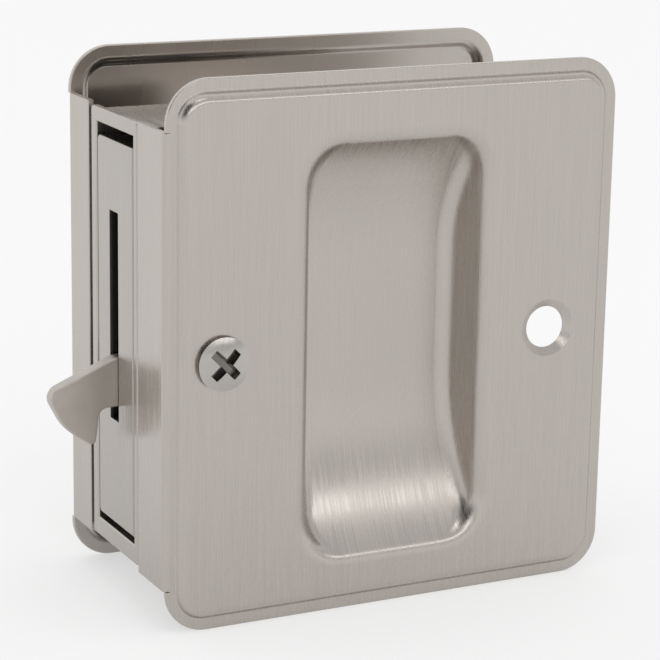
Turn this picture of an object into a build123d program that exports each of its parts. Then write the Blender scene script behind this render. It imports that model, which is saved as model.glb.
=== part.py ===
"""Pocket door lock with finger pulls: two stamped plates that straddle the door edge,
a cast edge frame, and a hook bolt turned by a thumb lever through a parallel link."""

import os
from math import acos, asin, cos, degrees, radians, sin, tan

from build123d import *

# Face plates
plate_width = 75.0
plate_height = 82.5
door_thickness = 34.9
door_clearance = 1.1
sheet = 0.9
corner_radius = 6.5
front_corner_inset = 0.4
rear_corner_inset = 0.0
rim_width = 1.9
panel_rise = 1.3
shoulder_slope = 58.0
shoulder_radius = 1.6
rim_fillet = 0.3
plate_edge = 0.2
bend_radius = 1.0
flange_overhang = 0.45
front_flange_drop = 0.35
rear_flange_drop = 0.0
front_flange_depth = 9.8
rear_flange_depth = 8.45

# Finger pull pressed into each plate
pull_width = 29.6
pull_top_margin = 9.85
pull_low_margin = 8.25
pull_corner = 7.5
pull_depth = 8.2
pull_draft = 14.0
top_scoop_run = 19.0
low_scoop_run = 27.0
pull_floor_radius = 2.6
pull_lip_radius = 3.0
mouth_overrun = 4.0

# Holes in the plates and the oval-head screws, which stand a little proud of their sinks
screw_setback = 8.7
screw_offset_z = -0.1
bolt_hole_setback = 11.5
bolt_hole_offset_z = -0.2
bolt_hole_radius = 3.25
bolt_sink_radius = 4.5
bolt_sink_angle = 112.0
countersink_angle = 100.0
screw_hole_radius = 2.5
screw_sink_radius = 3.2
screw_head_radius = 4.05
screw_dome = 0.8
screw_radius = 2.0
screw_length = 10.5
cross_span = 5.4
cross_width = 1.45
cross_depth = 1.7
cross_taper = 10.0
cross_turn = 45.0

# Cast edge frame
frame_set = 0.05
front_seam = 0.4
rear_seam = 1.1
flange_gap = 0.1
frame_corner = 0.6
frame_lip = 0.7
frame_end_wall = 1.9
frame_side_wall = 2.4
frame_body_length = 18.7
window_width = 14.6
window_offset_z = 0.4
boss_radius = 4.6
boss_mouth_depth = 1.2

# Lock case and its cover
case_side_gap = 0.4
case_end_gap = 1.45
case_height = 59.3
case_face_set = 0.05
case_wall = 1.2
crank_room = 0.8
case_tail_top = 11.0
case_tail_bottom = -24.0
case_corner = 0.8
slot_width = 3.4
slot_offset_y = 0.4
slot_top = 19.0
slot_bottom = -13.2
pillar_radius = 2.0
pillar_spigot_radius = 1.2
pillar_margin = 1.0
case_screw_setback = 14.5
case_screw_end = 4.65
case_screw_radius = 1.25
case_screw_head_radius = 2.4
case_screw_length = 4.6
case_screw_slot = 0.7

# Hook bolt
hook_reach = 10.5
hook_thickness = 2.4
hook_offset_y = 0.1
hook_pivot_setback = 16.0
hook_pivot_z = -6.85
shank_top = -3.0
shank_bottom = -10.75
nose_lead = 0.7876
nose_point_z = -7.75
belly_point_out = 8.2
belly_point_z = -13.6
tip_point_out = 3.55
tip_point_z = -16.85
throat_out = 2.9
throat_radius = 1.5
shank_radius = 4.0
nose_radius = 2.0
belly_radius = 8.0
tip_radius = 0.8
hook_edge = 0.25
hook_eye_radius = 5.5
hook_pivot_radius = 2.5
spacer_radius = 3.6
hook_travel = 80.0

# Thumb turn, crank and link
arm_length = 10.0
arm_radius = 3.0
hub_offset_x = -0.5
hub_offset_z = -2.0
link_thickness = 1.2
link_gap = 0.4
link_pin_radius = 1.5
link_pin_head_radius = 2.4
link_pin_head_height = 0.8
spindle_radius = 3.0
crank_eye_radius = 5.0
cam_radius = 4.2
cam_flat = 3.3
cam_width = 3.2
bush_radius = 4.3
bush_flange_radius = 5.4
bush_flange_thickness = 0.8
clip_radius = 4.8
clip_thickness = 0.8
clip_mouth = 3.6
clip_groove_radius = 2.3
spindle_nose = 1.2
square_drive = 4.2
lever_disc_radius = 5.6
lever_disc_thickness = 2.6
lever_reach = 13.8
lever_tip_radius = 2.6
lever_ridge_width = 3.0
lever_ridge_height = 3.2
lever_ridge_start = 4.6
lever_screw_radius = 1.5
lever_screw_head_radius = 2.7
lever_screw_head_height = 1.6
lever_screw_length = 8.0
washer_thickness = 0.5
washer_lift = 0.05

# Detent leaf spring, posts and stops
leaf_thickness = 0.5
leaf_width = 2.4
leaf_half_span = 5.5
leaf_tail = 2.6
leaf_gap = 0.05
post_radius = 1.2
stop_radius = 1.5
stop_gap = 0.15
stop_arm_place = 6.5
stop_shank_place = 12.0

# Fits
running_clearance = 0.06
seat_clearance = 0.02
side_play = 0.15
plate_hole_clearance = 0.3
boss_bore_margin = 0.3
edge_break = 0.3

# Levels worked out from the driving sizes
mid_x = hook_reach / 2
mid_z = plate_height / 2
half_width = plate_width / 2
edge_x = mid_x - half_width
rim_inner = (door_thickness + door_clearance) / 2
rim_face = rim_inner + sheet
panel_inner = rim_inner + panel_rise
panel_face = rim_face + panel_rise
pull_floor = panel_face - pull_depth
pull_back = pull_floor - sheet
pull_top = plate_height / 2 - pull_top_margin
pull_bottom = pull_low_margin - plate_height / 2
pull_height = pull_top - pull_bottom
pull_offset_z = (pull_top + pull_bottom) / 2
screw_x = screw_setback - half_width
bolt_hole_x = half_width - bolt_hole_setback
window_height = case_height + 2 * case_end_gap
frame_x = edge_x + frame_set
frame_face_front = front_flange_depth + front_seam - rim_face
frame_face_rear = rim_face - rear_flange_depth - rear_seam
frame_face_thickness = sheet + flange_gap - frame_set
frame_body_width = window_width + 2 * frame_side_wall
frame_body_height = window_height + 2 * frame_end_wall
frame_face_height = frame_body_height + 2 * frame_lip
flange_height = frame_face_height + 2 * flange_overhang
case_face_x = frame_x + case_face_set
case_half = window_width / 2 - case_side_gap
case_inner = case_half - case_wall
case_left = case_face_x - mid_x
case_head_end = frame_x + frame_face_thickness + frame_body_length - mid_x
hook_front = hook_offset_y - hook_thickness / 2
hook_rear = hook_offset_y + hook_thickness / 2
pivot_x = hook_pivot_setback - half_width
eye_left = mid_x + pivot_x - hook_eye_radius
hub_x = hub_offset_x
hub_z = hub_offset_z
link_run = Vector(hub_x - pivot_x, hub_z - hook_pivot_z)
link_turn = degrees(acos(link_run.X / link_run.length))
arm_angle = link_turn - 90.0 + hook_travel / 2
arm_x = arm_length * cos(radians(arm_angle))
arm_z = arm_length * sin(radians(arm_angle))
case_right = hub_x + arm_x + arm_radius + crank_room + case_wall
link_front = hook_rear + link_gap
link_rear = link_front + link_thickness
cam_rear = hook_front - link_gap

# The lock's middle plane, drawn as seen from the front: x to the right, y up
lock_plane = Plane(origin=(mid_x, 0, mid_z), x_dir=(1, 0, 0), z_dir=(0, -1, 0))


def layer(y):
    """Plane across the lock at depth y; a sketch on it extrudes towards the front."""
    return lock_plane.offset(-y)


def edge_layer(x):
    """Plane square to the door edge at x; a sketch on it extrudes into the lock."""
    return Plane(origin=(x, 0, mid_z), x_dir=(0, 1, 0), z_dir=(1, 0, 0))


def seat(x, z, y):
    """Plane for a fastener at depth y, with its z axis out of the nearer side of the lock."""
    return Plane(origin=(mid_x + x, y, mid_z + z), x_dir=(1, 0, 0), z_dir=(0, 1 if y > 0 else -1, 0))


def scoop_radius(run):
    """Arc that leaves the pull's floor flat and meets the face after this run."""
    return (run**2 + pull_depth**2) / (2 * pull_depth)


def swung(x, z, angle):
    """Place of a point, given from the hook's pivot, once the hook has turned."""
    turn = radians(angle)
    return pivot_x + x * cos(turn) + z * sin(turn), hook_pivot_z - x * sin(turn) + z * cos(turn)


def pull_pocket(wall, mouth):
    """Boat-shaped finger pocket, grown by the wall and cut off flat at the mouth."""
    floor_y = wall - pull_floor
    draft = radians(pull_draft)
    growth = 2 * wall / cos(draft) - 2 * (pull_depth + wall) * tan(draft)
    top_radius = scoop_radius(top_scoop_run) + wall
    low_radius = scoop_radius(low_scoop_run) + wall
    overrun_y = -panel_face - mouth_overrun
    top_sweep = degrees(acos((overrun_y - floor_y + top_radius) / top_radius))
    low_sweep = degrees(acos((overrun_y - floor_y + low_radius) / low_radius))
    with BuildPart() as pocket:
        with BuildSketch(edge_layer(mid_x)):
            with BuildLine():
                top_centre = (floor_y - top_radius, pull_top - top_scoop_run)
                low_centre = (floor_y - low_radius, pull_bottom + low_scoop_run)
                top = CenterArc(top_centre, top_radius, 0, top_sweep)
                low = CenterArc(low_centre, low_radius, 0, -low_sweep)
                Line(top @ 0, low @ 0)
                Line(top @ 1, low @ 1)
            make_face()
        extrude(amount=pull_width, both=True)
        with BuildSketch(layer(floor_y)):
            with Locations((0, pull_offset_z)):
                RectangleRounded(pull_width + growth, pull_height + growth, pull_corner + growth / 2)
        extrude(amount=floor_y - overrun_y, taper=-pull_draft, mode=Mode.INTERSECT)
        rim = pocket.faces().sort_by(Axis.Y)[0].edges()
        floor = pocket.faces().sort_by(Axis.Y)[-1].edges()
        scoops = pocket.faces().filter_by(GeomType.CYLINDER).edges()
        fillet(floor + scoops - rim - floor.filter_by(Axis.X), pull_floor_radius + wall)
        split(bisect_by=Plane.XZ.offset(-mouth), keep=Keep.BOTTOM)
    return pocket.part


def folded_flange(depth, drop):
    """Strip bent over the door edge: a short leg in the plane of the rim, and the flange."""
    with BuildPart() as strip:
        with BuildSketch(Plane.XY.offset(mid_z - drop - flange_height / 2)):
            with BuildLine():
                FilletPolyline(
                    (edge_x + rim_width, sheet / 2 - rim_face),
                    (edge_x + sheet / 2, sheet / 2 - rim_face),
                    (edge_x + sheet / 2, depth - rim_face),
                    radius=bend_radius - sheet / 2,
                )
            trace(line_width=sheet)
        extrude(amount=flange_height)
        outer = strip.faces().sort_by(Axis.X)[0].edges()
        fillet(outer.filter_by(Axis.Y) + outer.filter_by(Axis.Z).sort_by(Axis.Y)[-1:], plate_edge)
    return strip.part


def face_plate(flange_depth, flange_drop, corner_inset):
    """Stamped plate: flat rim, raised panel, finger pull, screw holes and folded flange."""
    with BuildPart() as plate:
        with BuildSketch(layer(-rim_inner)):
            with Locations((corner_inset / 2, 0)):
                RectangleRounded(plate_width - corner_inset, plate_height, corner_radius)
        extrude(amount=sheet)
        fillet(plate.faces().filter_by(Axis.Y).edges(), plate_edge)
        with BuildSketch(layer(-rim_inner)):
            with Locations((-half_width, -flange_drop)):
                Rectangle(2 * bend_radius, flange_height)
        extrude(amount=sheet, mode=Mode.SUBTRACT)
        add(folded_flange(flange_depth, flange_drop))
        with BuildSketch(layer(-rim_face)):
            RectangleRounded(
                plate_width - 2 * rim_width, plate_height - 2 * rim_width, corner_radius - rim_width
            )
        extrude(amount=panel_rise, taper=90 - shoulder_slope)
        front = plate.faces().filter_by(Axis.Y).sort_by(Axis.Y)
        fillet(front[0].outer_wire().edges(), shoulder_radius)
        rim = plate.faces().filter_by(Axis.Y).sort_by(Axis.Y)[1]
        fillet(rim.inner_wires()[0].edges(), rim_fillet)
        slope = radians(shoulder_slope)
        back_inset = rim_width + sheet * (1 - cos(slope)) / sin(slope)
        with BuildSketch(layer(-rim_inner)):
            RectangleRounded(
                plate_width - 2 * back_inset, plate_height - 2 * back_inset, corner_radius - back_inset
            )
        extrude(amount=panel_rise, taper=90 - shoulder_slope, mode=Mode.SUBTRACT)
        back = plate.faces().filter_by(Axis.Y).sort_by(Axis.Y)
        fillet(back[1].outer_wire().edges(), shoulder_radius - sheet)
        back = plate.faces().filter_by(Axis.Y).sort_by(Axis.Y)
        fillet(back[3].inner_wires()[0].edges(), rim_fillet + sheet)
        add(pull_pocket(sheet, -panel_face + sheet / 2))
        add(pull_pocket(0, -panel_face - mouth_overrun / 2), mode=Mode.SUBTRACT)
        front = plate.faces().filter_by(Axis.Y).sort_by(Axis.Y)
        fillet(front[0].inner_wires()[0].edges(), pull_lip_radius)
        back = plate.faces().filter_by(Axis.Y).sort_by(Axis.Y)
        fillet(back[1].inner_wires()[0].edges(), pull_lip_radius - sheet)
        with Locations(seat(screw_x, screw_offset_z, -panel_face)):
            CounterSinkHole(screw_hole_radius, screw_sink_radius, 2 * sheet, countersink_angle)
        with Locations(seat(bolt_hole_x, bolt_hole_offset_z, -panel_face)):
            CounterSinkHole(bolt_hole_radius, bolt_sink_radius, 2 * sheet, bolt_sink_angle)
    return plate.part


def screw_seats(y):
    """Front and rear places of the plate screws, at this distance from the middle plane."""
    return [seat(screw_x, screw_offset_z, side) for side in (-y, y)]


def case_outline(left, inset):
    """Side view of the case: a tall head behind the face and a lower tail between the pulls."""
    with Locations(((left + case_head_end) / 2, 0)):
        Rectangle(case_head_end - left - 2 * inset, case_height - 2 * inset)
    with Locations(((left + case_right) / 2, (case_tail_top + case_tail_bottom) / 2)):
        Rectangle(case_right - left - 2 * inset, case_tail_top - case_tail_bottom - 2 * inset)


def wall_holes(mode=Mode.ADD):
    """Holes that the case and its cover share: pivot, bush, pillars and fixing screws."""
    with Locations((pivot_x, hook_pivot_z)):
        Circle(hook_pivot_radius + seat_clearance, mode=mode)
    with Locations((hub_x, hub_z)):
        Circle(bush_radius + seat_clearance, mode=mode)
    with Locations(*pillar_places):
        Circle(pillar_spigot_radius + seat_clearance, mode=mode)
    with Locations((case_screw_x, case_screw_z), (case_screw_x, -case_screw_z)):
        Circle(case_screw_radius + seat_clearance, mode=mode)


def crank_arm(x, z):
    """Round-ended arm from a pivot to its link pin."""
    with Locations((x + arm_x / 2, z + arm_z / 2)):
        SlotCenterToCenter(arm_length, 2 * arm_radius, rotation=arm_angle)


def headed_pin(x, z):
    """Pin fast in an arm, with a head that keeps the link on it."""
    with BuildPart() as pin:
        with BuildSketch(layer(link_rear + side_play)):
            with Locations((x, z)):
                Circle(link_pin_radius)
        extrude(amount=link_rear + side_play - hook_front)
        with BuildSketch(layer(link_rear + side_play + link_pin_head_height)):
            with Locations((x, z)):
                Circle(link_pin_head_radius)
        extrude(amount=link_pin_head_height)
    return pin.part


# Places and levels that follow from these
cam_middle = cam_rear - cam_width / 2
lever_front = pull_floor + washer_thickness + 2 * washer_lift
lever_rear = lever_front + lever_disc_thickness
lever_angle = 90.0 + hook_travel / 2
square_socket = square_drive + 2 * seat_clearance
clip_rear = -case_half - side_play
spindle_front = clip_rear - clip_thickness - spindle_nose
dome_radius = (screw_head_radius**2 + screw_dome**2) / (2 * screw_dome)
dome_angle = degrees(asin(screw_head_radius / dome_radius))
sink_slope = tan(radians(countersink_angle / 2))
screw_head_depth = (screw_head_radius - screw_radius) / sink_slope
screw_lift = (screw_head_radius - screw_sink_radius) / sink_slope + seat_clearance
boss_bore_depth = screw_length + boss_bore_margin - sheet - screw_lift
case_hole_depth = frame_side_wall + case_side_gap
case_screw_x = case_screw_setback - half_width
case_screw_z = case_height / 2 - case_screw_end
case_screw_seats = [
    seat(case_screw_x, z, y)
    for z in (-case_screw_z, case_screw_z)
    for y in (-frame_body_width / 2, frame_body_width / 2)
]
leaf_z = hub_z + cam_flat + leaf_gap + leaf_thickness / 2
leaf_bend = post_radius + leaf_gap + leaf_thickness / 2
leaf_end = leaf_half_span + leaf_bend
pillar_inset = case_wall + pillar_radius + pillar_margin
pillar_places = [
    (case_left + pillar_inset, case_height / 2 - pillar_inset),
    (case_left + pillar_inset, pillar_inset - case_height / 2),
    (hub_x - leaf_end - leaf_thickness / 2 - pillar_margin - pillar_radius, case_tail_top - pillar_inset),
    (case_right - pillar_inset, case_tail_top - pillar_inset),
    (case_right - pillar_inset, case_tail_bottom + pillar_inset),
]
post_places = [(hub_x - leaf_half_span, leaf_z + leaf_bend), (hub_x + leaf_half_span, leaf_z + leaf_bend)]
stop_offset = arm_radius + stop_radius + stop_gap
stop_places = [
    swung(
        stop_arm_place * cos(radians(arm_angle)) - stop_offset * sin(radians(arm_angle)),
        stop_arm_place * sin(radians(arm_angle)) + stop_offset * cos(radians(arm_angle)),
        0,
    ),
    swung(-stop_shank_place, shank_top - hook_pivot_z + stop_radius + stop_gap, hook_travel),
]

# Front plate
with BuildPart() as front_plate:
    add(face_plate(front_flange_depth, front_flange_drop, front_corner_inset))

# Rear plate, the front one's mirror image with a hole for the thumb lever's spindle
with BuildPart() as rear_plate:
    mirror(face_plate(rear_flange_depth, rear_flange_drop, rear_corner_inset), about=Plane.XZ)
    with BuildSketch(layer(panel_face)):
        with Locations((hub_x, hub_z)):
            Circle(spindle_radius + plate_hole_clearance)
    extrude(amount=panel_face - pull_back + sheet, mode=Mode.SUBTRACT)

# Edge frame: face between the flanges with a window, a tube behind it and two screw bosses
with BuildPart() as edge_frame:
    with BuildSketch(edge_layer(frame_x)):
        with Locations(((frame_face_front + frame_face_rear) / 2, 0)):
            RectangleRounded(frame_face_rear - frame_face_front, frame_face_height, frame_corner)
    extrude(amount=frame_face_thickness)
    with BuildSketch(edge_layer(frame_x + frame_face_thickness)):
        Rectangle(frame_body_width, frame_body_height)
    extrude(amount=frame_body_length)
    with BuildSketch(layer(panel_inner)):
        with Locations((screw_x, screw_offset_z)):
            Circle(boss_radius)
    extrude(amount=2 * panel_inner)
    with BuildSketch(edge_layer(frame_x)):
        with Locations((0, window_offset_z)):
            Rectangle(window_width, window_height)
    extrude(amount=frame_face_thickness + frame_body_length, mode=Mode.SUBTRACT)
    fillet(edge_frame.faces().sort_by(Axis.X)[0].edges(), edge_break)
    with Locations(*screw_seats(panel_inner)):
        CounterBoreHole(screw_radius + seat_clearance, screw_hole_radius, boss_mouth_depth, boss_bore_depth)
    with Locations(*case_screw_seats):
        CounterSinkHole(
            case_screw_radius + seat_clearance, case_screw_head_radius + seat_clearance, case_hole_depth
        )

# Oval-head screws, one through each plate into the frame's bosses
with BuildPart() as oval_screw:
    with BuildSketch(Plane.XZ):
        with BuildLine():
            dome = CenterArc((0, screw_dome - dome_radius), dome_radius, 90 - dome_angle, dome_angle)
            Polyline(
                dome @ 0,
                (screw_radius, -screw_head_depth),
                (screw_radius, edge_break - screw_length),
                (screw_radius - edge_break, -screw_length),
                (0, -screw_length),
                dome @ 1,
            )
        make_face()
    revolve(axis=Axis.Z)
    with BuildSketch(Plane.XY.offset(screw_dome)):
        Rectangle(cross_span, cross_width, rotation=cross_turn)
        Rectangle(cross_width, cross_span, rotation=cross_turn)
    extrude(amount=-cross_depth, taper=cross_taper, mode=Mode.SUBTRACT)

with BuildPart() as plate_screws:
    with Locations(*screw_seats(panel_face + screw_lift)):
        add(oval_screw.part)

# Lock case: a folded tray whose face fills the frame's window
with BuildPart() as lock_case:
    with BuildSketch(layer(case_inner)):
        case_outline(case_left, 0)
    extrude(amount=case_inner + case_half)
    with BuildSketch(layer(case_inner)):
        case_outline(case_left, case_wall)
    extrude(amount=2 * case_inner, mode=Mode.SUBTRACT)
    with BuildSketch(edge_layer(case_face_x)):
        RectangleRounded(2 * case_half, case_height, case_corner)
    extrude(amount=case_wall)
    fillet(lock_case.faces().sort_by(Axis.X)[0].edges(), edge_break)
    with BuildSketch(edge_layer(case_face_x)):
        with Locations((slot_offset_y, (slot_top + slot_bottom) / 2)):
            Rectangle(slot_width, slot_top - slot_bottom)
    extrude(amount=case_wall, mode=Mode.SUBTRACT)
    with BuildSketch(layer(-case_inner)):
        wall_holes()
        with Locations(*post_places):
            Circle(post_radius + seat_clearance)
        with Locations(*stop_places):
            Circle(stop_radius + seat_clearance)
    extrude(amount=case_wall, mode=Mode.SUBTRACT)

# Flat cover that closes the case at the rear
with BuildPart() as case_cover:
    with BuildSketch(layer(case_half)):
        case_outline(case_left + case_wall, 0)
        wall_holes(mode=Mode.SUBTRACT)
    extrude(amount=case_wall)

# Shouldered pillars that hold the cover, riveted at both ends
with BuildPart() as case_pillars:
    with BuildSketch(layer(case_inner)):
        with Locations(*pillar_places):
            Circle(pillar_radius)
    extrude(amount=2 * case_inner)
    with BuildSketch(layer(case_half)):
        with Locations(*pillar_places):
            Circle(pillar_spigot_radius)
    extrude(amount=2 * case_half)

# Countersunk screws that hold the case in the frame
with BuildPart() as countersunk_screw:
    with BuildSketch(Plane.XZ):
        with BuildLine():
            Polyline(
                (0, 0),
                (case_screw_head_radius, 0),
                (case_screw_radius, case_screw_radius - case_screw_head_radius),
                (case_screw_radius, -case_screw_length),
                (0, -case_screw_length),
                close=True,
            )
        make_face()
    revolve(axis=Axis.Z)
    with BuildSketch(Plane.XY):
        Rectangle(2 * case_screw_head_radius, case_screw_slot)
    extrude(amount=-case_screw_slot, mode=Mode.SUBTRACT)

with BuildPart() as case_screws:
    with Locations(*case_screw_seats):
        add(countersunk_screw.part)

# Hook bolt with its pivot eye and the tail arm that the link pushes
with BuildPart() as hook_bolt:
    with BuildSketch(layer(hook_rear)):
        with BuildLine():
            FilletPolyline(
                (pivot_x, shank_top),
                (-half_width, shank_top),
                (-half_width - hook_reach - nose_lead, nose_point_z),
                (-half_width - belly_point_out, belly_point_z),
                (-half_width - tip_point_out, tip_point_z),
                (-half_width - throat_out, shank_bottom),
                (pivot_x, shank_bottom),
                radius=(shank_radius, nose_radius, belly_radius, tip_radius, throat_radius),
            )
            Line((pivot_x, shank_bottom), (pivot_x, shank_top))
        make_face()
        with Locations((pivot_x, hook_pivot_z)):
            Circle(hook_eye_radius)
        crank_arm(pivot_x, hook_pivot_z)
        with Locations((pivot_x, hook_pivot_z)):
            Circle(hook_pivot_radius + running_clearance, mode=Mode.SUBTRACT)
        with Locations((pivot_x + arm_x, hook_pivot_z + arm_z)):
            Circle(link_pin_radius + seat_clearance, mode=Mode.SUBTRACT)
    extrude(amount=hook_thickness)
    sides = hook_bolt.faces().filter_by(Axis.Y).sort_by(Axis.Y)
    rims = sides[0].outer_wire().edges() + sides[-1].outer_wire().edges()
    fillet(rims.filter_by_position(Axis.X, edge_x - 2 * hook_reach, eye_left), hook_edge)

# Pivot pin and the two spacers that keep the hook in line with its slot
with BuildPart() as hook_pivot:
    with BuildSketch(layer(case_half)):
        with Locations((pivot_x, hook_pivot_z)):
            Circle(hook_pivot_radius)
    extrude(amount=2 * case_half)

with BuildPart() as hook_spacers:
    for rear, front in ((case_inner, hook_rear + side_play), (hook_front - side_play, -case_inner)):
        with BuildSketch(layer(rear)):
            with Locations((pivot_x, hook_pivot_z)):
                Circle(spacer_radius)
                Circle(hook_pivot_radius + seat_clearance, mode=Mode.SUBTRACT)
        extrude(amount=rear - front)

# Turn hub: spindle, detent cam, crank and the square that drives the thumb lever
with BuildPart() as turn_hub:
    with BuildSketch(layer(pull_floor)):
        with Locations((hub_x, hub_z)):
            Circle(spindle_radius)
    extrude(amount=pull_floor - spindle_front)
    with BuildSketch(layer(cam_rear)):
        with Locations((hub_x, hub_z)):
            Circle(cam_radius)
            with PolarLocations(cam_flat + cam_radius, 2, 90, hook_travel, endpoint=True):
                Rectangle(2 * cam_radius, 2 * cam_radius, mode=Mode.SUBTRACT)
    extrude(amount=cam_width)
    with BuildSketch(layer(hook_rear)):
        with Locations((hub_x, hub_z)):
            Circle(crank_eye_radius)
        crank_arm(hub_x, hub_z)
        with Locations((hub_x + arm_x, hub_z + arm_z)):
            Circle(link_pin_radius + seat_clearance, mode=Mode.SUBTRACT)
    extrude(amount=hook_thickness)
    with BuildSketch(layer(lever_rear - side_play)):
        with Locations((hub_x, hub_z)):
            Rectangle(square_drive, square_drive, rotation=lever_angle)
    extrude(amount=lever_rear - side_play - pull_floor)
    with BuildSketch(layer(clip_rear)):
        with Locations((hub_x, hub_z)):
            Circle(spindle_radius)
            Circle(clip_groove_radius, mode=Mode.SUBTRACT)
    extrude(amount=clip_thickness, mode=Mode.SUBTRACT)
    with BuildSketch(layer(lever_rear)):
        with Locations((hub_x, hub_z)):
            Circle(lever_screw_radius + seat_clearance)
    extrude(amount=lever_screw_length + side_play, mode=Mode.SUBTRACT)

# Flanged bushes that carry the hub in the case and the cover
with BuildPart() as hub_bushes:
    for outer, inner, flange in (
        (case_half, case_inner, case_inner),
        (-case_inner, -case_half, bush_flange_thickness - case_inner),
    ):
        with BuildSketch(layer(outer)):
            with Locations((hub_x, hub_z)):
                Circle(bush_radius)
        extrude(amount=outer - inner)
        with BuildSketch(layer(flange)):
            with Locations((hub_x, hub_z)):
                Circle(bush_flange_radius)
        extrude(amount=bush_flange_thickness)
    with BuildSketch(layer(case_half)):
        with Locations((hub_x, hub_z)):
            Circle(spindle_radius + running_clearance)
    extrude(amount=2 * case_half, mode=Mode.SUBTRACT)

# Spring clip in the spindle's groove
with BuildPart() as hub_clip:
    with BuildSketch(layer(clip_rear)):
        with Locations((hub_x, hub_z)):
            Circle(clip_radius)
            Circle(clip_groove_radius + seat_clearance, mode=Mode.SUBTRACT)
        with Locations((hub_x, hub_z - clip_radius)):
            Rectangle(clip_mouth, 2 * clip_radius, mode=Mode.SUBTRACT)
    extrude(amount=clip_thickness - seat_clearance)

# Parallel link between the crank and the hook's tail, and its two headed pins
with BuildPart() as drive_link:
    with BuildSketch(layer(link_rear)):
        with Locations((pivot_x + arm_x + link_run.X / 2, hook_pivot_z + arm_z + link_run.Y / 2)):
            SlotCenterToCenter(link_run.length, 2 * arm_radius, rotation=link_turn)
        with Locations((pivot_x + arm_x, hook_pivot_z + arm_z), (hub_x + arm_x, hub_z + arm_z)):
            Circle(link_pin_radius + running_clearance, mode=Mode.SUBTRACT)
    extrude(amount=link_thickness)

with BuildPart() as hook_link_pin:
    add(headed_pin(pivot_x + arm_x, hook_pivot_z + arm_z))

with BuildPart() as hub_link_pin:
    add(headed_pin(hub_x + arm_x, hub_z + arm_z))

# Thumb lever in the rear pull, with its screw and washer
with BuildPart() as thumb_lever:
    with BuildSketch(layer(lever_rear)):
        with Locations((hub_x, hub_z)):
            Circle(lever_disc_radius)
            with PolarLocations(lever_reach, 1, lever_angle):
                Circle(lever_tip_radius)
        make_hull()
    extrude(amount=lever_disc_thickness)
    with BuildSketch(layer(lever_rear + lever_ridge_height)):
        with Locations((hub_x, hub_z)):
            with PolarLocations((lever_ridge_start + lever_reach) / 2, 1, lever_angle):
                SlotCenterToCenter(lever_reach - lever_ridge_start, lever_ridge_width)
    extrude(amount=lever_ridge_height)
    fillet(thumb_lever.faces().sort_by(Axis.Y)[-1].edges(), lever_ridge_width / 3)
    with BuildSketch(layer(lever_rear)):
        with Locations((hub_x, hub_z)):
            Rectangle(square_socket, square_socket, rotation=lever_angle)
    extrude(amount=lever_disc_thickness, mode=Mode.SUBTRACT)

with BuildPart() as lever_screw:
    with BuildSketch(layer(lever_rear + lever_screw_head_height)):
        with Locations((hub_x, hub_z)):
            Circle(lever_screw_head_radius)
    extrude(amount=lever_screw_head_height)
    fillet(lever_screw.faces().sort_by(Axis.Y)[-1].edges(), lever_screw_head_height / 2)
    with BuildSketch(layer(lever_rear)):
        with Locations((hub_x, hub_z)):
            Circle(lever_screw_radius)
    extrude(amount=lever_screw_length)
    with BuildSketch(layer(lever_rear + lever_screw_head_height)):
        with Locations((hub_x, hub_z)):
            Rectangle(cross_span / 2, cross_width / 2)
            Rectangle(cross_width / 2, cross_span / 2)
    extrude(amount=cross_depth / 2, mode=Mode.SUBTRACT)

with BuildPart() as lever_washer:
    with BuildSketch(layer(pull_floor + washer_lift + washer_thickness)):
        with Locations((hub_x, hub_z)):
            Circle(lever_disc_radius)
            Circle(spindle_radius + running_clearance, mode=Mode.SUBTRACT)
    extrude(amount=washer_thickness)

# Detent leaf spring, bent up round its two posts and lying on the cam's flat
with BuildPart() as leaf_spring:
    with BuildSketch(layer(cam_middle + leaf_width / 2)):
        with BuildLine():
            FilletPolyline(
                (hub_x - leaf_end, leaf_z + leaf_tail),
                (hub_x - leaf_end, leaf_z),
                (hub_x + leaf_end, leaf_z),
                (hub_x + leaf_end, leaf_z + leaf_tail),
                radius=leaf_bend,
            )
        trace(line_width=leaf_thickness)
    extrude(amount=leaf_width)

with BuildPart() as spring_posts:
    with BuildSketch(layer(cam_rear)):
        with Locations(*post_places):
            Circle(post_radius)
    extrude(amount=case_half + cam_rear)

# Stop pins for the locked and the drawn-back hook
with BuildPart() as stop_pins:
    with BuildSketch(layer(hook_rear)):
        with Locations(*stop_places):
            Circle(stop_radius)
    extrude(amount=case_half + hook_rear)

pieces = {
    "front_plate": front_plate,
    "rear_plate": rear_plate,
    "edge_frame": edge_frame,
    "plate_screws": plate_screws,
    "lock_case": lock_case,
    "case_cover": case_cover,
    "case_pillars": case_pillars,
    "case_screws": case_screws,
    "hook_bolt": hook_bolt,
    "hook_pivot": hook_pivot,
    "hook_spacers": hook_spacers,
    "hook_link_pin": hook_link_pin,
    "drive_link": drive_link,
    "hub_link_pin": hub_link_pin,
    "turn_hub": turn_hub,
    "hub_bushes": hub_bushes,
    "hub_clip": hub_clip,
    "thumb_lever": thumb_lever,
    "lever_screw": lever_screw,
    "lever_washer": lever_washer,
    "leaf_spring": leaf_spring,
    "spring_posts": spring_posts,
    "stop_pins": stop_pins,
}

os.makedirs("parts", exist_ok=True)
for name, piece in pieces.items():
    piece.part.label = name
    export_step(piece.part, f"parts/{name}.step")
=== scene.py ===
"""Finishes, studio and camera for the pocket door lock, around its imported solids."""

import bpy
from mathutils import Matrix, Vector

bl_info = {
    "name": "Pocket door lock",
    "version": (1, 0, 0),
    "blender": (4, 5, 0),
    "location": "View3D > Sidebar > Lock",
    "description": "Finishes and studio for a pocket door lock with finger pulls and a hook bolt",
    "category": "Object",
}

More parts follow.
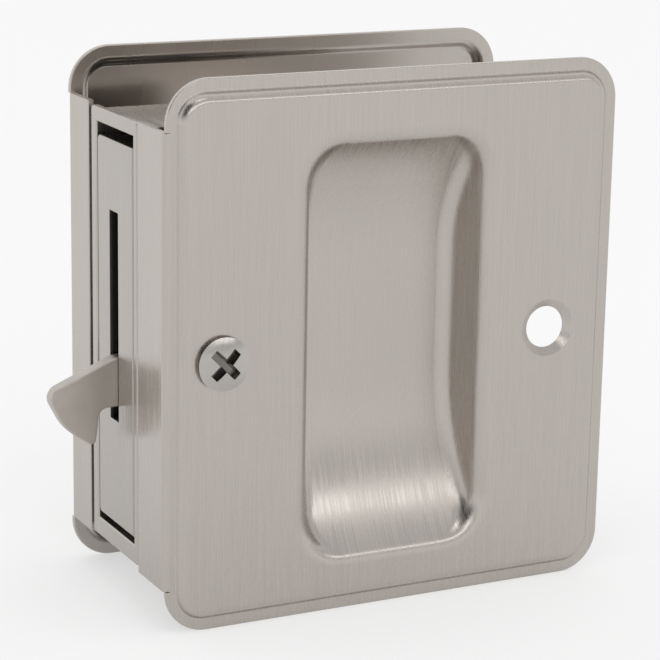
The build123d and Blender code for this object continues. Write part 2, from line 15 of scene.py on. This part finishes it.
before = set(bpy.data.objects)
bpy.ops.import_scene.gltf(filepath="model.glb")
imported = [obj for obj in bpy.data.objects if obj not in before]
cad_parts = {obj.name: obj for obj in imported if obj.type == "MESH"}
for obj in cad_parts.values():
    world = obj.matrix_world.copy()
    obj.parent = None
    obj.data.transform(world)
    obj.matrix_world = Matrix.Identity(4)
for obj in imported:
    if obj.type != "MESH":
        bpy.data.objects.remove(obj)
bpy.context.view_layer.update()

# The brush lines run upright; the slight lean keeps them defined on level faces too
BRUSH_AXIS = (0, 0.05, 1)

# Noise: the span that its values mostly keep to, its roughness, and stretches in cycles a metre
NOISE_SPAN = (0.3, 0.7)
NOISE_ROUGHNESS = 0.6
PLATE_MOTTLE = (90, 90, 25)
TUMBLED_MOTTLE = (140, 140, 140)
TURNED_MOTTLE = (300, 300, 300)
RING_STRETCH = 60
NYLON_GRAIN = (2500, 2500, 2500)
PAPER_GRAIN = (400, 400, 400)

# Darkest and lightest tone of each finish, as shares of its colour
PLATE_TONES = (0.95, 1.05)
TUMBLED_TONES = (0.92, 1.07)
TURNED_TONES = (0.92, 1.05)
NYLON_TONES = (0.95, 1.03)

# Brushed plates: swing of the slow gloss, tone of the backs, and the turns of a face between which
# the backs begin and the lines change over to the edges
GLOSS_SWING = 0.03
BACK_TONE = 0.5
BACK_TURN = (-0.5, -0.1)
EDGE_TURN = (0.6, 0.85)

# Roughness of the screws and the springs, and the depth of the oval screws' grain in metres
SCREW_ROUGH = (0.20, 0.32)
OVAL_SCREW_ROUGH = (0.15, 0.24)
OVAL_SCREW_RELIEF = 0.000003
SPRING_ROUGH = (0.22, 0.34)

# Painted shade in a screw's drive recess: share of the colour that its floor keeps, and where the fade
# into the shade ends, in recess depths
RECESS_SHADE_SHARE = 0.4
RECESS_SHADE_FADE = 1.4

# Washer: the share of light that goes into the nylon and how far, its roughness, and the depth of
# its grain, with lengths in metres
NYLON_DEPTH_SHARE = 0.15
NYLON_DEPTH = 0.001
NYLON_ROUGH = (0.42, 0.55)
NYLON_RELIEF = 0.000005

# Lamps and the dark board: place, the point that each faces, and size, in metres
STRIP_LIGHT = {"place": (0.09, -0.78, 0.385), "target": (0, -0.02, 0.02), "size": (1.10, 0.10)}
TOP_LIGHT = {"place": (-0.02, -0.44, 0.77), "target": (0, -0.02, 0.04), "size": (0.22, 0.16)}
CORNER_LIGHT = {"place": (-0.225, -0.73, 0.47), "target": (0, -0.02, 0.02), "size": (0.14, 0.14)}
DARK_FLAG = {"place": (-0.57, -0.37, 0.55), "target": (0, -0.02, 0.04), "size": 0.60}

# Room: the rise and the turn to the front over which its white goes over to grey
ROOM_RISE = (0.0, 0.22)
ROOM_FRONT = (-0.35, 0.05)

# Floor: side, the band of Y in which its front part goes over to its back part, tones, gloss, and
# the share of its glow that the front part keeps in reflections
FLOOR_SIDE = 6.0
FLOOR_BAND = (0.02, 0.16)
PAPER_DARK = (0.93, 0.93, 0.93)
PAPER_LIGHT = (0.945, 0.945, 0.945)
PAPER_ROUGHNESS = 0.9
PAPER_SHINE = 0.1
FRONT_GLOW = 0.6

# Camera: where it looks, its roll in radians, its frame in millimetres and its clip distances
CAMERA_FORWARD = (0.437366, 0.864275, -0.248512)
CAMERA_ROLL = -0.0178
CAMERA_FRAME = 36.0
CAMERA_CLIP = (0.01, 20.0)


class LockFinishes(bpy.types.PropertyGroup):
    """Colours and surface values of the lock's metals and its washer."""

    plate_colour: bpy.props.FloatVectorProperty(
        name="Plate colour", description="Satin nickel of the two face plates",
        subtype="COLOR", size=3, min=0, max=1, default=(0.54, 0.503, 0.464))
    frame_colour: bpy.props.FloatVectorProperty(
        name="Frame colour", description="Nickel on the cast edge frame, the hub and the thumb lever",
        subtype="COLOR", size=3, min=0, max=1, default=(0.515, 0.482, 0.446))
    case_colour: bpy.props.FloatVectorProperty(
        name="Case face colour", description="Nickel on the face of the case",
        subtype="COLOR", size=3, min=0, max=1, default=(0.495, 0.464, 0.43))
    steel_colour: bpy.props.FloatVectorProperty(
        name="Case steel colour", description="Oiled black steel of the case behind its face",
        subtype="COLOR", size=3, min=0, max=1, default=(0.16, 0.155, 0.15))
    hook_colour: bpy.props.FloatVectorProperty(
        name="Hook colour", description="Tumbled steel of the hook bolt",
        subtype="COLOR", size=3, min=0, max=1, default=(0.53, 0.487, 0.448))
    screw_colour: bpy.props.FloatVectorProperty(
        name="Screw colour", description="Bright nickel of the screws",
        subtype="COLOR", size=3, min=0, max=1, default=(0.51, 0.487, 0.458))
    pin_colour: bpy.props.FloatVectorProperty(
        name="Pin colour", description="Bare steel of pins, pillars, posts and link",
        subtype="COLOR", size=3, min=0, max=1, default=(0.52, 0.52, 0.52))
    brass_colour: bpy.props.FloatVectorProperty(
        name="Brass colour", description="Turned brass of bushes and spacers",
        subtype="COLOR", size=3, min=0, max=1, default=(0.66, 0.48, 0.20))
    spring_colour: bpy.props.FloatVectorProperty(
        name="Spring colour", description="Blued steel of the leaf spring and the clip",
        subtype="COLOR", size=3, min=0, max=1, default=(0.16, 0.17, 0.20))
    nylon_colour: bpy.props.FloatVectorProperty(
        name="Nylon colour", description="Natural nylon of the lever's washer",
        subtype="COLOR", size=3, min=0, max=1, default=(0.80, 0.78, 0.70))
    plating_reach: bpy.props.FloatProperty(
        name="Plating reach", description="How far the nickel of the case face runs round its edges",
        unit="LENGTH", min=0.0001, max=0.01, default=0.0006)
    # Painted shade: the oval screws' drive recesses are painted darker below this depth
    recess_shade_depth: bpy.props.FloatProperty(
        name="Recess depth",
        description="Depth below the top of the oval screw heads where the plating is dull",
        unit="LENGTH", min=0.0001, max=0.01, default=0.0009)
    brush_pitch: bpy.props.FloatProperty(
        name="Brush pitch", description="Width of one brush line on plates, frame and case face",
        unit="LENGTH", min=0.00005, max=0.002, default=0.00022)
    brush_run: bpy.props.FloatProperty(
        name="Brush run", description="Length of one brush line on plates, frame and case face",
        unit="LENGTH", min=0.001, max=0.1, default=0.012)


class LockStage(bpy.types.PropertyGroup):
    """Camera, room, floor, lamps and dark board of the studio."""

    camera_place: bpy.props.FloatVectorProperty(
        name="Camera place", description="Where the camera stands",
        subtype="TRANSLATION", size=3, default=(-0.16127, -0.32645, 0.13248))
    camera_lens: bpy.props.FloatProperty(
        name="Lens", description="Focal length on a 36 mm frame, in millimetres",
        min=20, max=300, default=131.35)
    background_white: bpy.props.FloatProperty(
        name="Background", description="White of the room as it is seen, and of the floor's glow",
        min=0, max=1, default=0.97)
    floor_glow: bpy.props.FloatProperty(
        name="Floor glow",
        description="Share of plain white in the floor that the camera and reflections see",
        min=0, max=1, default=0.58)
    front_shade: bpy.props.FloatProperty(
        name="Front shade",
        description="How much of the floor ahead of the lock its reflections keep",
        min=0, max=1, default=0.86)
    room_light: bpy.props.FloatProperty(
        name="Room light", description="Even light from the white room",
        min=0, max=4, default=0.95)
    strip_power: bpy.props.FloatProperty(
        name="Strip light", description="Power of the long soft lamp above and behind the camera",
        unit="POWER", min=0, max=100, default=0.50)
    top_power: bpy.props.FloatProperty(
        name="Top light", description="Power of the small soft lamp overhead",
        unit="POWER", min=0, max=100, default=0.22)
    corner_power: bpy.props.FloatProperty(
        name="Corner light", description="Power of the small soft lamp above and behind the camera",
        unit="POWER", min=0, max=100, default=0.10)
    ceiling_shade: bpy.props.FloatProperty(
        name="Room shade", description="Grey of the room above and behind the camera in the reflections",
        min=0, max=1, default=0.66)
    flag_shade: bpy.props.FloatProperty(
        name="Flag", description="Grey of the dark board beside the camera in the reflections",
        min=0, max=1, default=0.04)


# Node helpers

def link(tree, output, socket):
    """Joins an output to an input."""
    tree.links.new(output, socket)


def coordinate(tree, axis, kind="Object"):
    """One of the piece's own coordinates, or with Generated of a direction into the room."""
    place = tree.nodes.new("ShaderNodeTexCoord")
    parts = tree.nodes.new("ShaderNodeSeparateXYZ")
    link(tree, place.outputs[kind], parts.inputs["Vector"])
    return parts.outputs[axis]


def object_noise(tree, stretch, detail):
    """Noise on the piece's own coordinates, stretched by these cycles a metre."""
    place = tree.nodes.new("ShaderNodeTexCoord")
    mapping = tree.nodes.new("ShaderNodeMapping")
    mapping.inputs["Scale"].default_value = stretch
    noise = tree.nodes.new("ShaderNodeTexNoise")
    noise.inputs["Scale"].default_value = 1.0
    noise.inputs["Detail"].default_value = detail
    noise.inputs["Roughness"].default_value = NOISE_ROUGHNESS
    link(tree, place.outputs["Object"], mapping.inputs["Vector"])
    link(tree, mapping.outputs["Vector"], noise.inputs["Vector"])
    return noise.outputs["Fac"]


def map_range(tree, value, low, high, start=NOISE_SPAN[0], end=NOISE_SPAN[1]):
    """Runs from low to high while the value runs from start to end."""
    node = tree.nodes.new("ShaderNodeMapRange")
    node.inputs["From Min"].default_value = start
    node.inputs["From Max"].default_value = end
    node.inputs["To Min"].default_value = low
    node.inputs["To Max"].default_value = high
    link(tree, value, node.inputs["Value"])
    return node.outputs["Result"]


def math_node(tree, operation, first, second=None):
    """Result of the operation on one or two values."""
    node = tree.nodes.new("ShaderNodeMath")
    node.operation = operation
    link(tree, first, node.inputs[0])
    if second is not None:
        link(tree, second, node.inputs[1])
    return node.outputs["Value"]


def mixed(tree, factor, first, second):
    """Runs from the first value to the second with the factor."""
    mix = tree.nodes.new("ShaderNodeMix")
    link(tree, factor, mix.inputs["Factor"])
    link(tree, first, mix.inputs["A"])
    link(tree, second, mix.inputs["B"])
    return mix.outputs["Result"]


def tinted(tree, value, dark, light):
    """Colour that runs from dark to light with the value."""
    mix = tree.nodes.new("ShaderNodeMix")
    mix.data_type = "RGBA"
    mix.inputs["A"].default_value = (*dark, 1)
    mix.inputs["B"].default_value = (*light, 1)
    link(tree, value, mix.inputs["Factor"])
    return mix.outputs["Result"]


def scaled(tree, colour, amount):
    """The colour times the amount."""
    node = tree.nodes.new("ShaderNodeVectorMath")
    node.operation = "SCALE"
    link(tree, colour, node.inputs[0])
    link(tree, amount, node.inputs["Scale"])
    return node.outputs["Vector"]


def shades(colour, dark, light):
    """A darker and a lighter copy of the colour."""
    return tuple(c * dark for c in colour), tuple(min(1.0, c * light) for c in colour)


def bumped(tree, shader, value, depth):
    """Turns the value into relief of this depth."""
    bump = tree.nodes.new("ShaderNodeBump")
    bump.inputs["Distance"].default_value = depth
    link(tree, value, bump.inputs["Height"])
    link(tree, bump.outputs["Normal"], shader.inputs["Normal"])


def show_between(tree, factor, first, second, output):
    """Shows the first shader where the factor is nought and the second where it is one."""
    mix = tree.nodes.new("ShaderNodeMixShader")
    link(tree, factor, mix.inputs["Fac"])
    link(tree, first, mix.inputs[1])
    link(tree, second, mix.inputs[2])
    link(tree, mix.outputs["Shader"], tree.nodes[output].inputs["Surface"])


def seen_directly(tree):
    """One for rays from the camera, from metal and through glass, nought for the light itself."""
    path = tree.nodes.new("ShaderNodeLightPath")
    camera_ray = path.outputs["Is Camera Ray"]
    mirrored = math_node(tree, "MAXIMUM", camera_ray, path.outputs["Is Glossy Ray"])
    return math_node(tree, "MAXIMUM", mirrored, path.outputs["Is Transmission Ray"])


def face_turn(tree, axis):
    """How far a face looks along this axis, from minus one to one."""
    shape = tree.nodes.new("ShaderNodeNewGeometry")
    facing = tree.nodes.new("ShaderNodeSeparateXYZ")
    link(tree, shape.outputs["Normal"], facing.inputs["Vector"])
    return facing.outputs[axis]


def outer_side(tree):
    """One where a face looks away from the lock's middle plane or along it, nought on the backs."""
    side = math_node(tree, "SIGN", coordinate(tree, "Y"))
    outward = math_node(tree, "MULTIPLY", side, face_turn(tree, "Y"))
    return map_range(tree, outward, 0, 1, *BACK_TURN)


def aimed(place, target):
    """Turn that makes a lamp or a board at this place face the target."""
    return (Vector(target) - Vector(place)).to_track_quat("-Z", "Y")


# Finishes

def blank(name):
    """New material with its node tree and its shader."""
    material = bpy.data.materials.new(name)
    material.use_nodes = True
    return material, material.node_tree, material.node_tree.nodes["Principled BSDF"]


def along_the_brush(tree, shader, amount):
    """Stretches the highlights across the upright brush lines."""
    shape = tree.nodes.new("ShaderNodeNewGeometry")
    across = tree.nodes.new("ShaderNodeVectorMath")
    across.operation = "CROSS_PRODUCT"
    across.inputs[1].default_value = BRUSH_AXIS
    link(tree, shape.outputs["Normal"], across.inputs[0])
    link(tree, across.outputs["Vector"], shader.inputs["Tangent"])
    shader.inputs["Anisotropic"].default_value = amount


def brush_lines(tree, pitch, run):
    """Upright lines over each face, and a flat tone on the backs, which are left as rolled."""
    over_front = object_noise(tree, (1 / pitch, 1 / run, 1 / run), detail=3.0)
    over_edge = object_noise(tree, (1 / run, 1 / pitch, 1 / run), detail=3.0)
    sideways = math_node(tree, "ABSOLUTE", face_turn(tree, "X"))
    edge = map_range(tree, sideways, 0, 1, *EDGE_TURN)
    flat = tree.nodes.new("ShaderNodeValue").outputs["Value"]
    flat.default_value = BACK_TONE
    return mixed(tree, outer_side(tree), flat, mixed(tree, edge, over_front, over_edge))


def brushed_nickel(name, colour, pitch, run, rough=(0.20, 0.36), depth=0.000006, stretch=0.65):
    """Satin plate brushed lengthwise: fine lines in height, tone and gloss over a slow mottle."""
    material, tree, shader = blank(name)
    shader.inputs["Metallic"].default_value = 1.0
    along_the_brush(tree, shader, stretch)
    lines = brush_lines(tree, pitch, run)
    slow = object_noise(tree, PLATE_MOTTLE, detail=3.0)
    tone = tinted(tree, map_range(tree, lines, 0, 1), *shades(colour, *PLATE_TONES))
    link(tree, tone, shader.inputs["Base Color"])
    swing = map_range(tree, slow, -GLOSS_SWING, GLOSS_SWING)
    gloss = math_node(tree, "ADD", map_range(tree, lines, *rough), swing)
    link(tree, gloss, shader.inputs["Roughness"])
    bumped(tree, shader, lines, depth)
    return material


def faced_steel(name, face_colour, steel_colour, face_x, depth, pitch, run):
    """Black steel box with a brushed nickel face: the plating ends behind the face."""
    material = brushed_nickel(name, face_colour, pitch, run)
    tree = material.node_tree
    shader = tree.nodes["Principled BSDF"]
    plated = shader.inputs["Base Color"].links[0].from_socket
    behind = map_range(tree, coordinate(tree, "X"), 0, 1, face_x, face_x + depth)
    mix = tree.nodes.new("ShaderNodeMix")
    mix.data_type = "RGBA"
    link(tree, behind, mix.inputs["Factor"])
    link(tree, plated, mix.inputs["A"])
    mix.inputs["B"].default_value = (*steel_colour, 1)
    link(tree, mix.outputs["Result"], shader.inputs["Base Color"])
    return material


def tumbled_metal(name, colour, rough=(0.32, 0.46), grain=0.0004, depth=0.000008):
    """Even satin metal with a fine pitted grain, as from tumbling or casting."""
    material, tree, shader = blank(name)
    shader.inputs["Metallic"].default_value = 1.0
    fine = object_noise(tree, (1 / grain, 1 / grain, 1 / grain), detail=5.0)
    slow = object_noise(tree, TUMBLED_MOTTLE, detail=3.0)
    tone = tinted(tree, map_range(tree, slow, 0, 1), *shades(colour, *TUMBLED_TONES))
    link(tree, tone, shader.inputs["Base Color"])
    link(tree, map_range(tree, fine, *rough), shader.inputs["Roughness"])
    bumped(tree, shader, fine, depth)
    return material


def paint_recess_shade(material, top, depth, share):
    """Paints shade into a screw's drive recess, deeper than this below the top of its head."""
    tree = material.node_tree
    shader = tree.nodes["Principled BSDF"]
    plated = shader.inputs["Base Color"].links[0].from_socket
    level = math_node(tree, "ABSOLUTE", coordinate(tree, "Y"))
    kept = map_range(tree, level, share, 1, top - RECESS_SHADE_FADE * depth, top - depth)
    link(tree, scaled(tree, plated, kept), shader.inputs["Base Color"])


def turned_metal(name, colour, rough=(0.16, 0.26), pitch=0.00025, depth=0.000003):
    """Bright turned metal with tool marks across its length through the lock."""
    material, tree, shader = blank(name)
    shader.inputs["Metallic"].default_value = 1.0
    rings = object_noise(tree, (RING_STRETCH, 1 / pitch, RING_STRETCH), detail=2.0)
    slow = object_noise(tree, TURNED_MOTTLE, detail=2.0)
    tone = tinted(tree, map_range(tree, slow, 0, 1), *shades(colour, *TURNED_TONES))
    link(tree, tone, shader.inputs["Base Color"])
    link(tree, map_range(tree, rings, *rough), shader.inputs["Roughness"])
    bumped(tree, shader, rings, depth)
    return material


def moulded_nylon(name, colour):
    """Milky plastic with a faint moulded grain."""
    material, tree, shader = blank(name)
    shader.inputs["Subsurface Weight"].default_value = NYLON_DEPTH_SHARE
    shader.inputs["Subsurface Scale"].default_value = NYLON_DEPTH
    grain = object_noise(tree, NYLON_GRAIN, detail=3.0)
    tone = tinted(tree, map_range(tree, grain, 0, 1), *shades(colour, *NYLON_TONES))
    link(tree, tone, shader.inputs["Base Color"])
    link(tree, map_range(tree, grain, *NYLON_ROUGH), shader.inputs["Roughness"])
    bumped(tree, shader, grain, NYLON_RELIEF)
    return material


def dress(material, *names):
    """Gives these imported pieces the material."""
    for name in names:
        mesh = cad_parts[name].data
        mesh.materials.clear()
        mesh.materials.append(material)


class LOCK_OT_face_plates(bpy.types.Operator):
    """Brushed satin nickel on both face plates"""

    bl_idname = "lock.face_plates"
    bl_label = "Face plates"

    def execute(self, context):
        finish = context.scene.lock_finishes
        nickel = brushed_nickel(
            "brushed_nickel", finish.plate_colour, finish.brush_pitch, finish.brush_run)
        dress(nickel, "front_plate", "rear_plate")
        return {"FINISHED"}


class LOCK_OT_edge_frame(bpy.types.Operator):
    """Nickel plated casting between the flanges"""

    bl_idname = "lock.edge_frame"
    bl_label = "Edge frame"

    def execute(self, context):
        finish = context.scene.lock_finishes
        nickel = brushed_nickel(
            "frame_nickel", finish.frame_colour, finish.brush_pitch, finish.brush_run)
        dress(nickel, "edge_frame")
        return {"FINISHED"}


class LOCK_OT_case(bpy.types.Operator):
    """Black steel case and cover, with brushed nickel on the face"""

    bl_idname = "lock.case"
    bl_label = "Case"

    def execute(self, context):
        finish = context.scene.lock_finishes
        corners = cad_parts["lock_case"].data.vertices
        face_x = min(corner.co.x for corner in corners)
        steel = faced_steel(
            "case_steel", finish.case_colour, finish.steel_colour, face_x, finish.plating_reach,
            finish.brush_pitch, finish.brush_run)
        dress(steel, "lock_case", "case_cover")
        return {"FINISHED"}


class LOCK_OT_hook(bpy.types.Operator):
    """Tumbled steel hook bolt"""

    bl_idname = "lock.hook"
    bl_label = "Hook bolt"

    def execute(self, context):
        dress(tumbled_metal("hook_steel", context.scene.lock_finishes.hook_colour), "hook_bolt")
        return {"FINISHED"}


class LOCK_OT_turn(bpy.types.Operator):
    """Cast hub and thumb lever"""

    bl_idname = "lock.turn"
    bl_label = "Thumb turn"

    def execute(self, context):
        nickel = tumbled_metal("turn_nickel", context.scene.lock_finishes.frame_colour)
        dress(nickel, "turn_hub", "thumb_lever")
        return {"FINISHED"}


class LOCK_OT_screws(bpy.types.Operator):
    """Bright nickel on every screw"""

    bl_idname = "lock.screws"
    bl_label = "Screws"

    def execute(self, context):
        finish = context.scene.lock_finishes
        nickel = tumbled_metal("screw_nickel", finish.screw_colour, SCREW_ROUGH)
        dress(nickel, "case_screws", "lever_screw")
        oval = tumbled_metal(
            "oval_screw_nickel", finish.screw_colour, OVAL_SCREW_ROUGH, depth=OVAL_SCREW_RELIEF)
        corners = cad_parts["plate_screws"].data.vertices
        top = max(abs(corner.co.y) for corner in corners)
        # Painted shade in the drive recesses of the oval screws
        paint_recess_shade(oval, top, finish.recess_shade_depth, RECESS_SHADE_SHARE)
        dress(oval, "plate_screws")
        return {"FINISHED"}


class LOCK_OT_pins(bpy.types.Operator):
    """Turned steel pins, pillars and posts, and the punched link"""

    bl_idname = "lock.pins"
    bl_label = "Pins and link"

    def execute(self, context):
        colour = context.scene.lock_finishes.pin_colour
        dress(turned_metal("turned_steel", colour), "case_pillars", "hook_pivot", "hook_link_pin",
              "hub_link_pin", "spring_posts", "stop_pins")
        dress(tumbled_metal("punched_steel", colour), "drive_link")
        return {"FINISHED"}


class LOCK_OT_bushes(bpy.types.Operator):
    """Turned brass bushes and spacers"""

    bl_idname = "lock.bushes"
    bl_label = "Bushes"

    def execute(self, context):
        brass = turned_metal("turned_brass", context.scene.lock_finishes.brass_colour)
        dress(brass, "hub_bushes", "hook_spacers")
        return {"FINISHED"}


class LOCK_OT_springs(bpy.types.Operator):
    """Blued leaf spring and clip"""

    bl_idname = "lock.springs"
    bl_label = "Springs"

    def execute(self, context):
        colour = context.scene.lock_finishes.spring_colour
        dress(tumbled_metal("blued_steel", colour, SPRING_ROUGH), "leaf_spring", "hub_clip")
        return {"FINISHED"}


class LOCK_OT_washer(bpy.types.Operator):
    """Nylon washer under the thumb lever"""

    bl_idname = "lock.washer"
    bl_label = "Washer"

    def execute(self, context):
        nylon = moulded_nylon("natural_nylon", context.scene.lock_finishes.nylon_colour)
        dress(nylon, "lever_washer")
        return {"FINISHED"}


class LOCK_OT_studio(bpy.types.Operator):
    """White room, pale floor, soft lamps, dark board and camera"""

    bl_idname = "lock.studio"
    bl_label = "Studio"

    def execute(self, context):
        stage = context.scene.lock_stage
        self.white_room(context.scene, stage)
        self.pale_floor(stage)
        self.soft_lamp("strip_light", power=stage.strip_power, **STRIP_LIGHT)
        self.soft_lamp("top_light", power=stage.top_power, **TOP_LIGHT)
        self.soft_lamp("corner_light", power=stage.corner_power, **CORNER_LIGHT)
        self.reflection_card("dark_flag", shade=stage.flag_shade, **DARK_FLAG)
        self.photo_camera(context.scene, stage)
        context.scene.view_settings.view_transform = "Standard"
        return {"FINISHED"}

    def white_room(self, scene, stage):
        """Even white light, and a room that is grey high up on the camera's side when it is seen."""
        world = bpy.data.worlds.new("white_room")
        world.use_nodes = True
        scene.world = world
        tree = world.node_tree
        lighting = tree.nodes["Background"]
        lighting.inputs["Color"].default_value = (1, 1, 1, 1)
        lighting.inputs["Strength"].default_value = stage.room_light
        room = tree.nodes.new("ShaderNodeBackground")
        above = map_range(tree, coordinate(tree, "Z", "Generated"), 0, 1, *ROOM_RISE)
        ahead = map_range(tree, coordinate(tree, "Y", "Generated"), 1, 0, *ROOM_FRONT)
        high_front = math_node(tree, "MULTIPLY", above, ahead)
        shade = map_range(tree, high_front, stage.background_white, stage.ceiling_shade, 0, 1)
        link(tree, shade, room.inputs["Color"])
        show_between(tree, seen_directly(tree), lighting.outputs["Background"],
                     room.outputs["Background"], "World Output")

    def pale_floor(self, stage):
        """Paper floor that glows to the camera, and less so to reflections ahead of the lock."""
        bpy.ops.object.select_all(action="DESELECT")
        bpy.ops.mesh.primitive_plane_add(size=FLOOR_SIDE, location=(0, 0, 0))
        floor = bpy.context.object
        floor.name = "studio_floor"
        material, tree, shader = blank("pale_paper")
        shader.inputs["Roughness"].default_value = PAPER_ROUGHNESS
        shader.inputs["Specular IOR Level"].default_value = PAPER_SHINE
        path = tree.nodes.new("ShaderNodeLightPath")
        glossy_ray = path.outputs["Is Glossy Ray"]
        grain = object_noise(tree, PAPER_GRAIN, detail=4.0)
        paper = tinted(tree, map_range(tree, grain, 0, 1), PAPER_DARK, PAPER_LIGHT)
        ahead = map_range(tree, coordinate(tree, "Y"), 1, 0, *FLOOR_BAND)
        dimmed = math_node(tree, "MULTIPLY", glossy_ray, ahead)
        kept = map_range(tree, dimmed, 1, stage.front_shade, 0, 1)
        link(tree, scaled(tree, paper, kept), shader.inputs["Base Color"])
        glow = tree.nodes.new("ShaderNodeEmission")
        glow.inputs["Color"].default_value = (stage.background_white,) * 3 + (1,)
        front_glow = FRONT_GLOW * stage.floor_glow
        behind = map_range(tree, coordinate(tree, "Y"), front_glow, stage.floor_glow, *FLOOR_BAND)
        mirrored = math_node(tree, "MULTIPLY", glossy_ray, behind)
        straight = map_range(tree, path.outputs["Is Camera Ray"], 0, stage.floor_glow, 0, 1)
        share = math_node(tree, "MAXIMUM", straight, mirrored)
        show_between(tree, share, shader.outputs["BSDF"], glow.outputs["Emission"],
                     "Material Output")
        floor.data.materials.append(material)

    def reflection_card(self, name, place, target, size, shade):
        """Board that only the metal's reflections see."""
        bpy.ops.object.select_all(action="DESELECT")
        turn = aimed(place, target).to_euler()
        bpy.ops.mesh.primitive_plane_add(size=size, location=place, rotation=turn)
        card = bpy.context.object
        card.name = name
        card.visible_camera = False
        card.visible_diffuse = False
        card.visible_transmission = False
        card.visible_shadow = False
        material, _, shader = blank(name)
        shader.inputs["Base Color"].default_value = (0, 0, 0, 1)
        shader.inputs["Specular IOR Level"].default_value = 0.0
        shader.inputs["Emission Color"].default_value = (1, 1, 1, 1)
        shader.inputs["Emission Strength"].default_value = shade
        card.data.materials.append(material)

    def soft_lamp(self, name, place, target, size, power):
        """Rectangular lamp of this width and height that faces the target."""
        light = bpy.data.lights.new(name, "AREA")
        light.shape = "RECTANGLE"
        light.size, light.size_y = size
        light.energy = power
        lamp = bpy.data.objects.new(name, light)
        bpy.context.scene.collection.objects.link(lamp)
        lamp.location = place
        lamp.rotation_mode = "QUATERNION"
        lamp.rotation_quaternion = aimed(place, target)

    def photo_camera(self, scene, stage):
        """Camera that sees the lock as the photo does."""
        data = bpy.data.cameras.new("photo_camera")
        data.sensor_width = CAMERA_FRAME
        data.lens = stage.camera_lens
        data.clip_start, data.clip_end = CAMERA_CLIP
        camera = bpy.data.objects.new("photo_camera", data)
        scene.collection.objects.link(camera)
        forward = Vector(CAMERA_FORWARD)
        right = forward.cross(Vector((0, 0, 1))).normalized()
        up = right.cross(forward)
        roll = Matrix.Rotation(CAMERA_ROLL, 3, forward)
        turn = Matrix((roll @ right, roll @ up, -forward)).transposed()
        camera.matrix_world = Matrix.Translation(stage.camera_place) @ turn.to_4x4()
        scene.camera = camera


class LOCK_PT_panel(bpy.types.Panel):
    """Lists the lock's pieces and its studio"""

    bl_idname = "LOCK_PT_panel"
    bl_label = "Pocket door lock"
    bl_space_type = "VIEW_3D"
    bl_region_type = "UI"
    bl_category = "Lock"

    def draw(self, context):
        for operator in OPERATORS:
            self.layout.operator(operator.bl_idname)
        for group in (context.scene.lock_finishes, context.scene.lock_stage):
            for name in group.bl_rna.properties.keys():
                if name not in ("rna_type", "name"):
                    self.layout.prop(group, name)


OPERATORS = (
    LOCK_OT_face_plates,
    LOCK_OT_edge_frame,
    LOCK_OT_case,
    LOCK_OT_hook,
    LOCK_OT_turn,
    LOCK_OT_screws,
    LOCK_OT_pins,
    LOCK_OT_bushes,
    LOCK_OT_springs,
    LOCK_OT_washer,
    LOCK_OT_studio,
)
CLASSES = (LockFinishes, LockStage, *OPERATORS, LOCK_PT_panel)


def register():
    for cls in CLASSES:
        bpy.utils.register_class(cls)
    bpy.types.Scene.lock_finishes = bpy.props.PointerProperty(type=LockFinishes)
    bpy.types.Scene.lock_stage = bpy.props.PointerProperty(type=LockStage)


def unregister():
    del bpy.types.Scene.lock_stage
    del bpy.types.Scene.lock_finishes
    for cls in reversed(CLASSES):
        bpy.utils.unregister_class(cls)


def main():
    register()
    bpy.ops.lock.face_plates()
    bpy.ops.lock.edge_frame()
    bpy.ops.lock.case()
    bpy.ops.lock.hook()
    bpy.ops.lock.turn()
    bpy.ops.lock.screws()
    bpy.ops.lock.pins()
    bpy.ops.lock.bushes()
    bpy.ops.lock.springs()
    bpy.ops.lock.washer()
    bpy.ops.lock.studio()


if __name__ == "__main__":
    main()
